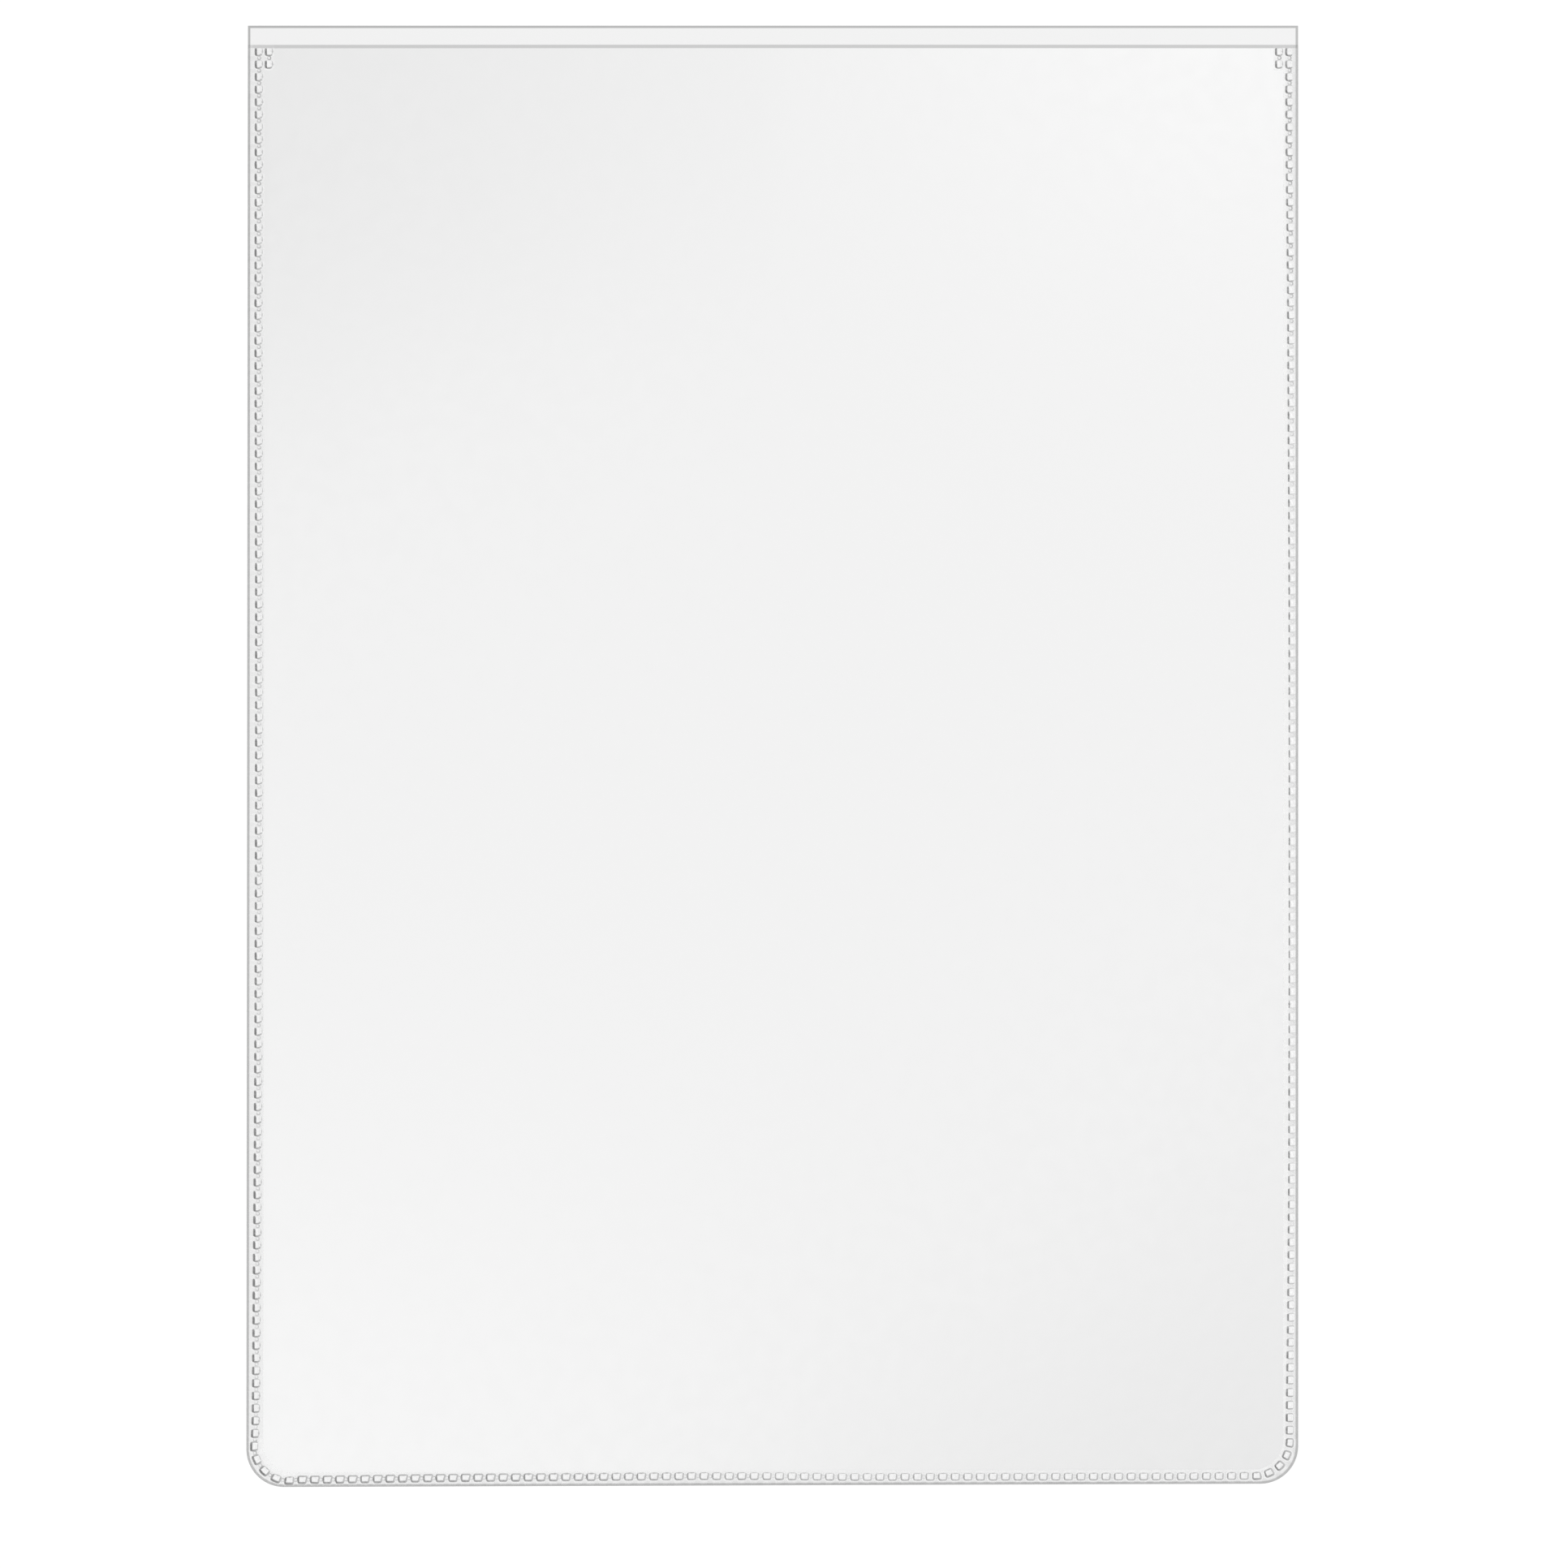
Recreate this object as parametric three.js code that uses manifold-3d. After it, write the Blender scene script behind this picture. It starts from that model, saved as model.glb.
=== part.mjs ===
// A flat, clear film sleeve for one small document: two plies of film, joined by
// a fine chain-pattern weld on the left, right and bottom edges and open at the top.
//
// Millimetres. +X right, +Y towards the mouth, +Z out of the front face.
// The sleeve lies on its back. The origin is the middle of the back face.

import * as THREE from 'three';
import { mergeVertices } from 'three/addons/utils/BufferGeometryUtils.js';
import Module from 'manifold-3d';

const wasm = await Module();
wasm.setup();

// ---- driving dimensions ------------------------------------------------------

const SLEEVE_WIDTH = 111.0;       // outer width of both plies
const SLEEVE_HEIGHT = 154.3;      // the back ply, bottom edge to lip
const LIP = 2.1;                  // how far the back ply stands above the front one
const FILM = 0.2;                 // thickness of one ply
const CORNER_RADIUS = 4.0;        // the two bottom corners; the top ones are square

const SEAM_INSET_LEFT = 1.13;     // outer edge to the middle of the weld chain
const SEAM_INSET_RIGHT = 0.93;
const SEAM_INSET_BOTTOM = 0.86;
const SEAM_INSIDE = 0.65;         // middle of the chain to the inner end of the fused zone
const SEAM_TURN_RADIUS = 3.8;     // the chain's own radius at the bottom corners

const BLOCK_LENGTH = 0.82;        // one pressed block, along the seam
const BLOCK_WIDTH = 0.7;          // and across it
const PRESS_DEPTH = 0.1;          // depth of a pressed block in the fused plies
const BLOCK_PITCH_TARGET = 1.325; // spacing of the blocks along the seam
const FIRST_BLOCK_BELOW_MOUTH = 0.72; // front ply's top edge to the first block's middle

const TACK_BLOCKS = 2;            // blocks in the doubled weld beside the seam at each mouth corner
const TACK_INSIDE = 1.08;         // middle of the seam's chain to the middle of these blocks
const TACK_PAD_WIDTH = 1.0;
const TACK_PAD_MARGIN = 0.25;     // fused film below the last of them

const PANEL_GAP = 0.3;            // clearance between the free front panel and the welds
const POCKET_GAP = 0.3;           // air between the plies inside the pocket
const TACK_NOTCH_CLEARANCE = 0.3;

const CORNER_STEPS = 8;           // segments in a quarter turn

// ---- levels and edges that follow from them ------------------------------------

const X0 = -SLEEVE_WIDTH / 2;
const X1 = SLEEVE_WIDTH / 2;
const Y0 = -SLEEVE_HEIGHT / 2;
const Y1 = SLEEVE_HEIGHT / 2;
const MOUTH_Y = Y1 - LIP;               // top edge of the front ply

const BACK_TOP = FILM;                  // upper face of the back ply
const FUSED_TOP = 2 * FILM;             // upper face of the fused border
const BLOCK_FLOOR = FUSED_TOP - PRESS_DEPTH;
const PANEL_BOTTOM = BACK_TOP + POCKET_GAP;
const PANEL_TOP = PANEL_BOTTOM + FILM;

const SEAM_LEFT = X0 + SEAM_INSET_LEFT;
const SEAM_RIGHT = X1 - SEAM_INSET_RIGHT;
const SEAM_BOTTOM = Y0 + SEAM_INSET_BOTTOM;
const INNER_LEFT = SEAM_LEFT + SEAM_INSIDE;     // where the pocket begins
const INNER_RIGHT = SEAM_RIGHT - SEAM_INSIDE;
const INNER_BOTTOM = SEAM_BOTTOM + SEAM_INSIDE;

const TURN_LEFT_X = SEAM_LEFT + SEAM_TURN_RADIUS;   // centres of the chain's two turns
const TURN_RIGHT_X = SEAM_RIGHT - SEAM_TURN_RADIUS;
const TURN_Y = SEAM_BOTTOM + SEAM_TURN_RADIUS;

// ---- shapes ---------------------------------------------------------------------

function arc(cx, cy, r, from, to, steps = CORNER_STEPS) {
  const points = [];
  for (let i = 0; i <= steps; i++) {
    const a = ((from + ((to - from) * i) / steps) * Math.PI) / 180;
    points.push([cx + r * Math.cos(a), cy + r * Math.sin(a)]);
  }
  return points;
}

function plate(outline, bottom, top) {
  const shape = new THREE.Shape(outline.map(([x, y]) => new THREE.Vector2(x, y)));
  const g = new THREE.ExtrudeGeometry(shape, {
    depth: top - bottom,
    bevelEnabled: false,
    steps: 1,
  });
  // The two faces are set to their levels exactly, so that stacked plies share a plane.
  const p = g.attributes.position;
  for (let i = 0; i < p.count; i++) {
    p.setZ(i, p.getZ(i) > (top - bottom) / 2 ? top : bottom);
  }
  return g;
}

function solid(geometry) {
  const g = geometry.clone();
  g.deleteAttribute('normal');
  g.deleteAttribute('uv');
  const m = mergeVertices(g, 1e-4);
  return new wasm.Manifold(
    new wasm.Mesh({
      numProp: 3,
      vertProperties: new Float32Array(m.attributes.position.array),
      triVerts: new Uint32Array(m.index.array),
    }),
  );
}

function geometryOf(manifold) {
  const m = manifold.getMesh();
  const g = new THREE.BufferGeometry();
  g.setAttribute('position', new THREE.BufferAttribute(new Float32Array(m.vertProperties), 3));
  g.setIndex(new THREE.BufferAttribute(new Uint32Array(m.triVerts), 1));
  g.computeVertexNormals();
  return g;
}

// A pressed block: a box whose middle is at (x, y) and whose length points along `angle`.
function pressTool(x, y, angle, length, width) {
  const g = new THREE.BoxGeometry(length, width, 0.6);
  g.rotateZ(angle);
  g.translate(x, y, BLOCK_FLOOR + 0.3);
  return solid(g);
}

function pressed(outline, blocks) {
  let fused = solid(plate(outline, BACK_TOP, FUSED_TOP));
  for (const b of blocks) {
    fused = fused.subtract(pressTool(b.x, b.y, b.angle, BLOCK_LENGTH, BLOCK_WIDTH));
  }
  return geometryOf(fused);
}

// ---- the weld chain's path, down the left, along the bottom and up the right -------

const FIRST_BLOCK_Y = MOUTH_Y - FIRST_BLOCK_BELOW_MOUTH;
const RUN_SIDE = FIRST_BLOCK_Y - TURN_Y;
const RUN_TURN = (Math.PI / 2) * SEAM_TURN_RADIUS;
const RUN_BOTTOM = TURN_RIGHT_X - TURN_LEFT_X;
const RUN_ALL = 2 * RUN_SIDE + 2 * RUN_TURN + RUN_BOTTOM;
const BLOCK_SPACES = Math.round(RUN_ALL / BLOCK_PITCH_TARGET);
const BLOCK_PITCH = RUN_ALL / BLOCK_SPACES;

// The place and direction of the chain at the distance s along its path.
function chainAt(s) {
  if (s < RUN_SIDE) return { x: SEAM_LEFT, y: FIRST_BLOCK_Y - s, angle: -Math.PI / 2 };
  s -= RUN_SIDE;
  if (s < RUN_TURN) {
    const a = Math.PI + s / SEAM_TURN_RADIUS;
    return {
      x: TURN_LEFT_X + SEAM_TURN_RADIUS * Math.cos(a),
      y: TURN_Y + SEAM_TURN_RADIUS * Math.sin(a),
      angle: a + Math.PI / 2,
    };
  }
  s -= RUN_TURN;
  if (s < RUN_BOTTOM) return { x: TURN_LEFT_X + s, y: SEAM_BOTTOM, angle: 0 };
  s -= RUN_BOTTOM;
  if (s < RUN_TURN) {
    const a = -Math.PI / 2 + s / SEAM_TURN_RADIUS;
    return {
      x: TURN_RIGHT_X + SEAM_TURN_RADIUS * Math.cos(a),
      y: TURN_Y + SEAM_TURN_RADIUS * Math.sin(a),
      angle: a + Math.PI / 2,
    };
  }
  s -= RUN_TURN;
  return { x: SEAM_RIGHT, y: TURN_Y + s, angle: Math.PI / 2 };
}

const chain = [];
for (let i = 0; i <= BLOCK_SPACES; i++) chain.push({ i, ...chainAt(i * BLOCK_PITCH) });

// Each run of the seam ends midway between two blocks, on the straight beside a turn.
const between = (s) => Math.floor(s / BLOCK_PITCH - 0.5);
const LAST_LEFT = between(RUN_SIDE);
const FIRST_BOTTOM = Math.ceil((RUN_SIDE + RUN_TURN) / BLOCK_PITCH + 0.5);
const LAST_BOTTOM = between(RUN_SIDE + RUN_TURN + RUN_BOTTOM);
const FIRST_RIGHT = Math.ceil((RUN_SIDE + 2 * RUN_TURN + RUN_BOTTOM) / BLOCK_PITCH + 0.5);

const LEFT_END_Y = chain[LAST_LEFT].y - BLOCK_PITCH / 2;
const BOTTOM_START_X = chain[FIRST_BOTTOM].x - BLOCK_PITCH / 2;
const BOTTOM_END_X = chain[LAST_BOTTOM].x + BLOCK_PITCH / 2;
const RIGHT_START_Y = chain[FIRST_RIGHT].y - BLOCK_PITCH / 2;

// ---- outlines ---------------------------------------------------------------------

const backOutline = [
  ...arc(X0 + CORNER_RADIUS, Y0 + CORNER_RADIUS, CORNER_RADIUS, 180, 270),
  ...arc(X1 - CORNER_RADIUS, Y0 + CORNER_RADIUS, CORNER_RADIUS, 270, 360),
  [X1, Y1],
  [X0, Y1],
];

const leftSeamOutline = [
  [X0, LEFT_END_Y],
  [INNER_LEFT, LEFT_END_Y],
  [INNER_LEFT, MOUTH_Y],
  [X0, MOUTH_Y],
];

const rightSeamOutline = [
  [INNER_RIGHT, RIGHT_START_Y],
  [X1, RIGHT_START_Y],
  [X1, MOUTH_Y],
  [INNER_RIGHT, MOUTH_Y],
];

const bottomSeamOutline = [
  [BOTTOM_START_X, Y0],
  [BOTTOM_END_X, Y0],
  [BOTTOM_END_X, INNER_BOTTOM],
  [BOTTOM_START_X, INNER_BOTTOM],
];

const INNER_TURN = SEAM_TURN_RADIUS - SEAM_INSIDE;

const leftCornerOutline = [
  [X0, LEFT_END_Y],
  ...arc(X0 + CORNER_RADIUS, Y0 + CORNER_RADIUS, CORNER_RADIUS, 180, 270),
  [BOTTOM_START_X, Y0],
  [BOTTOM_START_X, INNER_BOTTOM],
  ...arc(TURN_LEFT_X, TURN_Y, INNER_TURN, 270, 180),
  [INNER_LEFT, LEFT_END_Y],
];

const rightCornerOutline = [
  [BOTTOM_END_X, INNER_BOTTOM],
  [BOTTOM_END_X, Y0],
  ...arc(X1 - CORNER_RADIUS, Y0 + CORNER_RADIUS, CORNER_RADIUS, 270, 360),
  [X1, RIGHT_START_Y],
  [INNER_RIGHT, RIGHT_START_Y],
  ...arc(TURN_RIGHT_X, TURN_Y, INNER_TURN, 360, 270),
];

// The tack pads stand inside the side seams, right below the mouth. Their blocks are
// level with the first blocks of the seam.
const TACK_TOP = MOUTH_Y;
const TACK_BOTTOM =
  FIRST_BLOCK_Y - (TACK_BLOCKS - 1) * BLOCK_PITCH - BLOCK_LENGTH / 2 - TACK_PAD_MARGIN;
const leftTackOutline = [
  [INNER_LEFT, TACK_BOTTOM],
  [INNER_LEFT + TACK_PAD_WIDTH, TACK_BOTTOM],
  [INNER_LEFT + TACK_PAD_WIDTH, TACK_TOP],
  [INNER_LEFT, TACK_TOP],
];
const rightTackOutline = [
  [INNER_RIGHT - TACK_PAD_WIDTH, TACK_BOTTOM],
  [INNER_RIGHT, TACK_BOTTOM],
  [INNER_RIGHT, TACK_TOP],
  [INNER_RIGHT - TACK_PAD_WIDTH, TACK_TOP],
];

function tackBlocks(x) {
  const blocks = [];
  for (let i = 0; i < TACK_BLOCKS; i++) {
    blocks.push({ x, y: FIRST_BLOCK_Y - i * BLOCK_PITCH, angle: Math.PI / 2 });
  }
  return blocks;
}

// The free front panel: the front ply inside the welds, cut back round the two tacks.
const PANEL_LEFT = INNER_LEFT + PANEL_GAP;
const PANEL_RIGHT = INNER_RIGHT - PANEL_GAP;
const PANEL_BOTTOM_Y = INNER_BOTTOM + PANEL_GAP;
const PANEL_TURN = INNER_TURN - PANEL_GAP;
const NOTCH_Y = TACK_BOTTOM - TACK_NOTCH_CLEARANCE;
const NOTCH_LEFT = INNER_LEFT + TACK_PAD_WIDTH + TACK_NOTCH_CLEARANCE;
const NOTCH_RIGHT = INNER_RIGHT - TACK_PAD_WIDTH - TACK_NOTCH_CLEARANCE;

const frontPanelOutline = [
  ...arc(TURN_LEFT_X, TURN_Y, PANEL_TURN, 180, 270),
  ...arc(TURN_RIGHT_X, TURN_Y, PANEL_TURN, 270, 360),
  [PANEL_RIGHT, NOTCH_Y],
  [NOTCH_RIGHT, NOTCH_Y],
  [NOTCH_RIGHT, MOUTH_Y],
  [NOTCH_LEFT, MOUTH_Y],
  [NOTCH_LEFT, NOTCH_Y],
  [PANEL_LEFT, NOTCH_Y],
];

// ---- materials ------------------------------------------------------------------------

const film = () =>
  new THREE.MeshStandardMaterial({
    color: 0xf2f2f2,
    roughness: 0.12,
    metalness: 0,
    transparent: true,
    opacity: 0.16,
  });
const fused = () =>
  new THREE.MeshStandardMaterial({
    color: 0xe6e6e6,
    roughness: 0.3,
    metalness: 0,
    transparent: true,
    opacity: 0.4,
  });

// ---- assembly --------------------------------------------------------------------------

const sleeve = new THREE.Group();

function add(name, geometry, material, group = sleeve) {
  const mesh = new THREE.Mesh(geometry, material);
  mesh.name = name;
  group.add(mesh);
  return mesh;
}

const backPly = new THREE.Group();
add('back_sheet', plate(backOutline, 0, BACK_TOP), film(), backPly);
sleeve.add(backPly);

const weld = new THREE.Group();
const run = (from, to) => chain.slice(from, to + 1);
add('left_weld_seam', pressed(leftSeamOutline, run(0, LAST_LEFT)), fused(), weld);
add(
  'left_corner_weld',
  pressed(leftCornerOutline, run(LAST_LEFT + 1, FIRST_BOTTOM - 1)),
  fused(),
  weld,
);
add('bottom_weld_seam', pressed(bottomSeamOutline, run(FIRST_BOTTOM, LAST_BOTTOM)), fused(), weld);
add(
  'right_corner_weld',
  pressed(rightCornerOutline, run(LAST_BOTTOM + 1, FIRST_RIGHT - 1)),
  fused(),
  weld,
);
add('right_weld_seam', pressed(rightSeamOutline, run(FIRST_RIGHT, BLOCK_SPACES)), fused(), weld);
add(
  'left_mouth_tack',
  pressed(leftTackOutline, tackBlocks(SEAM_LEFT + TACK_INSIDE)),
  fused(),
  weld,
);
add(
  'right_mouth_tack',
  pressed(rightTackOutline, tackBlocks(SEAM_RIGHT - TACK_INSIDE)),
  fused(),
  weld,
);
sleeve.add(weld);

const frontPly = new THREE.Group();
add('front_sheet', plate(frontPanelOutline, PANEL_BOTTOM, PANEL_TOP), film(), frontPly);
sleeve.add(frontPly);

export default sleeve;
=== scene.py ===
"""Looks of the clear document sleeve: two plies of clear film and the chain weld that joins them.

Lengths in this script are written in millimetres and scaled by MM. The frame is the CAD's: +X right, +Y towards
the open mouth, +Z out of the front face, with the origin in the middle of the back face.
"""

import math

import bpy
import numpy as np
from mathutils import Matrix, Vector
from mathutils.geometry import delaunay_2d_cdt


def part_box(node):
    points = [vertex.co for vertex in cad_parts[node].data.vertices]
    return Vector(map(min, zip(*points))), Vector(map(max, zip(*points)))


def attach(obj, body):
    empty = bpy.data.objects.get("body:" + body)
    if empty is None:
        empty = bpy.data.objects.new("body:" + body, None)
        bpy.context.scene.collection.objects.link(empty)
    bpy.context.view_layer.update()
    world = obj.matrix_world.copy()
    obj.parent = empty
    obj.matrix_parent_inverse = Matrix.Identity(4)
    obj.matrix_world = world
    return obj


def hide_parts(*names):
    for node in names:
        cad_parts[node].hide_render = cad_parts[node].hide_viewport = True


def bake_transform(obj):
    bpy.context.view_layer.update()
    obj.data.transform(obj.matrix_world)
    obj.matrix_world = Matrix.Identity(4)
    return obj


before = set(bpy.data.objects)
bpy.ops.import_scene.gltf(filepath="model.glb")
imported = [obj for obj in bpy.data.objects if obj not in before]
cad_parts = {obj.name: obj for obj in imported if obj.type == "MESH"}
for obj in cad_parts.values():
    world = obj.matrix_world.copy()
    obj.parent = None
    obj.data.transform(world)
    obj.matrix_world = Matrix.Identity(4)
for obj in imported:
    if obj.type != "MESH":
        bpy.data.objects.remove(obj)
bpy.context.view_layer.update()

MM = 0.001
rng = np.random.default_rng(20)

# ---- the CAD's dimensions, in millimetres -------------------------------------------------

X0, X1 = (v / MM for v in (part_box("back_sheet")[0].x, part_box("back_sheet")[1].x))
Y0, Y1 = (v / MM for v in (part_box("back_sheet")[0].y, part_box("back_sheet")[1].y))
FILM = 0.2
CORNER_RADIUS = 4.0
SEAM_INSET_LEFT, SEAM_INSET_RIGHT, SEAM_INSET_BOTTOM = 1.13, 0.93, 0.86
SEAM_INSIDE = 0.65
SEAM_TURN_RADIUS = 3.8
BLOCK_LENGTH, BLOCK_WIDTH, PRESS_DEPTH = 0.82, 0.70, 0.1
BLOCK_PITCH_TARGET = 1.325
FIRST_BLOCK_BELOW_MOUTH = 0.72
LIP = 2.1
TACK_INSIDE = 1.08
TACK_PAD_WIDTH = 1.0
TACK_PAD_MARGIN = 0.25

MOUTH_Y = Y1 - LIP
SEAM_LEFT = X0 + SEAM_INSET_LEFT
SEAM_RIGHT = X1 - SEAM_INSET_RIGHT
SEAM_BOTTOM = Y0 + SEAM_INSET_BOTTOM
INNER_LEFT = SEAM_LEFT + SEAM_INSIDE
INNER_RIGHT = SEAM_RIGHT - SEAM_INSIDE
INNER_BOTTOM = SEAM_BOTTOM + SEAM_INSIDE
INNER_TURN = SEAM_TURN_RADIUS - SEAM_INSIDE
TURN_LEFT_X = SEAM_LEFT + SEAM_TURN_RADIUS
TURN_RIGHT_X = SEAM_RIGHT - SEAM_TURN_RADIUS
TURN_Y = SEAM_BOTTOM + SEAM_TURN_RADIUS

FIRST_BLOCK_Y = MOUTH_Y - FIRST_BLOCK_BELOW_MOUTH
RUN_SIDE = FIRST_BLOCK_Y - TURN_Y
RUN_TURN = math.pi / 2 * SEAM_TURN_RADIUS
RUN_BOTTOM = TURN_RIGHT_X - TURN_LEFT_X
RUN_ALL = 2 * RUN_SIDE + 2 * RUN_TURN + RUN_BOTTOM
BLOCK_SPACES = round(RUN_ALL / BLOCK_PITCH_TARGET)
PITCH = RUN_ALL / BLOCK_SPACES

EDGE_LINE = 0.24     # width of the darker line along a cut edge
MOUTH_LINE = 0.335   # and along the front ply's edge at the mouth

# ---- camera --------------------------------------------------------------------------------

CAMERA_HEIGHT = 1000.0
VIEW_WIDTH = 165.77  # what the picture is wide, at the sleeve
CAMERA_X, CAMERA_Y = 1.21, -3.06

camera_data = bpy.data.cameras.new("camera")
camera_data.sensor_width = 36.0
camera_data.lens = 36.0 * CAMERA_HEIGHT / VIEW_WIDTH
camera_data.clip_start, camera_data.clip_end = 0.05, 20.0
camera = bpy.data.objects.new("camera", camera_data)
camera.location = (CAMERA_X * MM, CAMERA_Y * MM, CAMERA_HEIGHT * MM)
bpy.context.scene.collection.objects.link(camera)
bpy.context.scene.camera = camera

# ---- geometry helpers ------------------------------------------------------------------------


def smooth(t):
    t = np.clip(t, 0.0, 1.0)
    return t * t * (3 - 2 * t)


def unsmooth(w):
    """The t whose smoothstep is w."""
    w = np.clip(w, 0.0, 1.0)
    return 0.5 - np.sin(np.arcsin(1 - 2 * w) / 3)


def as_cut(verts):
    """The same points on a sleeve that was cut and welded a little out of square, by 0.2 mm at the most."""
    v = np.array(verts, float)
    x, y = v[:, 0].copy(), v[:, 1].copy()
    left = np.clip(0.5 - x / (X1 - X0), 0, 1)
    low = np.clip(0.5 - y / (Y1 - Y0), 0, 1)
    v[:, 0] += (0.00105 * y - 0.04) * left + 0.05 * (1 - left)
    v[:, 1] += (0.0033 * x - 0.045) * low - 0.05 * np.clip((y - MOUTH_Y) / LIP, 0, 1)
    return v


def make_object(name, verts, faces, attributes=None, soft=True):
    mesh = bpy.data.meshes.new(name)
    mesh.from_pydata((as_cut(verts) * MM).tolist(), [], faces)
    mesh.validate()
    for key, values in (attributes or {}).items():
        layer = mesh.attributes.new(key, "FLOAT", "POINT")
        layer.data.foreach_set("value", np.asarray(values, np.float32))
    mesh.polygons.foreach_set("use_smooth", [soft] * len(mesh.polygons))
    mesh.update()
    obj = bpy.data.objects.new(name, mesh)
    bpy.context.scene.collection.objects.link(obj)
    return obj


def crisp(obj, degrees=38):
    """Keeps the folds of a mesh sharp, so that flat faces are shaded flat."""
    obj.data.set_sharp_from_angle(angle=math.radians(degrees))


def arc(cx, cy, r, a0, a1, steps):
    a = np.radians(np.linspace(a0, a1, steps + 1))
    return np.stack([cx + r * np.cos(a), cy + r * np.sin(a)], 1)


def outline(inset, steps=20):
    """The sleeve's outline, set in by inset: round at the bottom corners, square at the top."""
    r = CORNER_RADIUS
    left = arc(X0 + r, Y0 + r, r - inset, 180, 270, steps)
    right = arc(X1 - r, Y0 + r, r - inset, 270, 360, steps)
    top = np.array([[X1 - inset, Y1 - inset], [X0 + inset, Y1 - inset]])
    return np.vstack([left, right, top])


def painted_cut_shade(x, y):
    """How grey the line along the cut is, with painted shade: darker on the left, lighter on the right and, but for the
    far left, towards the bottom.
    """
    return 0.96 - 0.07 * x / X1 - 0.04 * np.clip(0.5 - y / (Y1 - Y0), 0, 1) * (x > -0.5 * X1)


def refine(loop, spacing):
    """The closed loop with its long sides cut into stretches of about spacing."""
    out = []
    for a, b in zip(loop, np.roll(loop, -1, 0)):
        n = max(1, round(float(np.linalg.norm(b - a)) / spacing))
        out += [a + (b - a) * i / n for i in range(n)]
    return np.array(out)


def fill(loop, inner_points, lines=()):
    """Triangles inside a closed loop, through the given inner points and along the given lines."""
    pts = [Vector(p) for p in loop]
    edges = []
    for line in lines:
        at = len(pts)
        pts += [Vector(p) for p in line]
        edges += [(at + i, at + i + 1) for i in range(len(line) - 1)]
    pts += [Vector(p) for p in inner_points]
    v, _, f, *_ = delaunay_2d_cdt(pts, edges, [list(range(len(loop)))], 1, 1e-6)
    return np.array([[p.x, p.y] for p in v]), [list(t) for t in f]


# ---- the back ply ------------------------------------------------------------------------------


def back_film():
    """A closed plate with rolled cut edges, and a ring of its own for the line along the cut."""
    spacing = 7.0
    rings = [  # inset, height, edge
        (EDGE_LINE + 0.03, 0.0, 0.0),
        (EDGE_LINE, 0.0, 1.0),
        (0.05, 0.0, 1.0),
        (0.0, 0.05, 1.0),
        (0.0, FILM - 0.05, 1.0),
        (0.05, FILM, 1.0),
        (EDGE_LINE, FILM, 1.0),
        (EDGE_LINE + 0.03, FILM, 0.0),
    ]
    verts, edge, loops = [], [], []
    for inset, z, e in rings:
        at = len(verts)
        base = outline(0.0)
        ring = outline(inset)
        pts = []
        # the same number of points on every ring, so that they join in quads
        for i in range(len(base)):
            j = (i + 1) % len(base)
            n = max(1, round(float(np.linalg.norm(base[j] - base[i])) / spacing))
            pts += [ring[i] + (ring[j] - ring[i]) * k / n for k in range(n)]
        verts += [[p[0], p[1], z] for p in pts]
        edge += [e * painted_cut_shade(p[0], p[1]) for p in pts]
        loops.append(list(range(at, at + len(pts))))
    faces = []
    for lower, upper in zip(loops, loops[1:]):
        n = len(lower)
        for i in range(n):
            j = (i + 1) % n
            faces.append([lower[i], lower[j], upper[j], upper[i]])
    inner = np.array([verts[i][:2] for i in loops[0]])
    gx = np.arange(X0 + 5, X1 - 4, spacing)
    gy = np.arange(Y0 + 5, Y1 - 4, spacing)
    grid = [(x, y) for x in gx for y in gy]
    flat, tris = fill(inner, grid)
    n_loop = len(inner)
    for z, loop, flip in ((0.0, loops[0], True), (FILM, loops[-1], False)):
        at = len(verts)
        verts += [[p[0], p[1], z] for p in flat[n_loop:]]
        edge += [0.0] * (len(flat) - n_loop)
        index = list(loop) + list(range(at, at + len(flat) - n_loop))
        for t in tris:
            f = [index[i] for i in t]
            faces.append(f[::-1] if flip else f)
    return make_object("back_film", verts, faces, {"edge": edge})


# ---- the weld ------------------------------------------------------------------------------------


def chain_at(s):
    """The place of the weld chain at the distance s along its path, and its direction."""
    if s < RUN_SIDE:
        return SEAM_LEFT, FIRST_BLOCK_Y - s, -math.pi / 2
    s -= RUN_SIDE
    if s < RUN_TURN:
        a = math.pi + s / SEAM_TURN_RADIUS
        return (
            TURN_LEFT_X + SEAM_TURN_RADIUS * math.cos(a),
            TURN_Y + SEAM_TURN_RADIUS * math.sin(a),
            a + math.pi / 2,
        )
    s -= RUN_TURN
    if s < RUN_BOTTOM:
        return TURN_LEFT_X + s, SEAM_BOTTOM, 0.0
    s -= RUN_BOTTOM
    if s < RUN_TURN:
        a = -math.pi / 2 + s / SEAM_TURN_RADIUS
        return (
            TURN_RIGHT_X + SEAM_TURN_RADIUS * math.cos(a),
            TURN_Y + SEAM_TURN_RADIUS * math.sin(a),
            a + math.pi / 2,
        )
    s -= RUN_TURN
    return SEAM_RIGHT, TURN_Y + s, math.pi / 2


def inside_by(x, y):
    """How far a point lies inside the sleeve's outline."""
    r = CORNER_RADIUS
    if y < Y0 + r and x < X0 + r:
        return r - math.hypot(x - X0 - r, y - Y0 - r)
    if y < Y0 + r and x > X1 - r:
        return r - math.hypot(x - X1 + r, y - Y0 - r)
    return min(x - X0, X1 - x, y - Y0)


def outward_room(x, y, nx, ny):
    """The distance from a point of the chain to the outline, along its outward normal."""
    lo, hi = 0.0, 3.0
    for _ in range(40):
        mid = (lo + hi) / 2
        if inside_by(x + nx * mid, y + ny * mid) > 0:
            lo = mid
        else:
            hi = mid
    return (lo + hi) / 2


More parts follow.
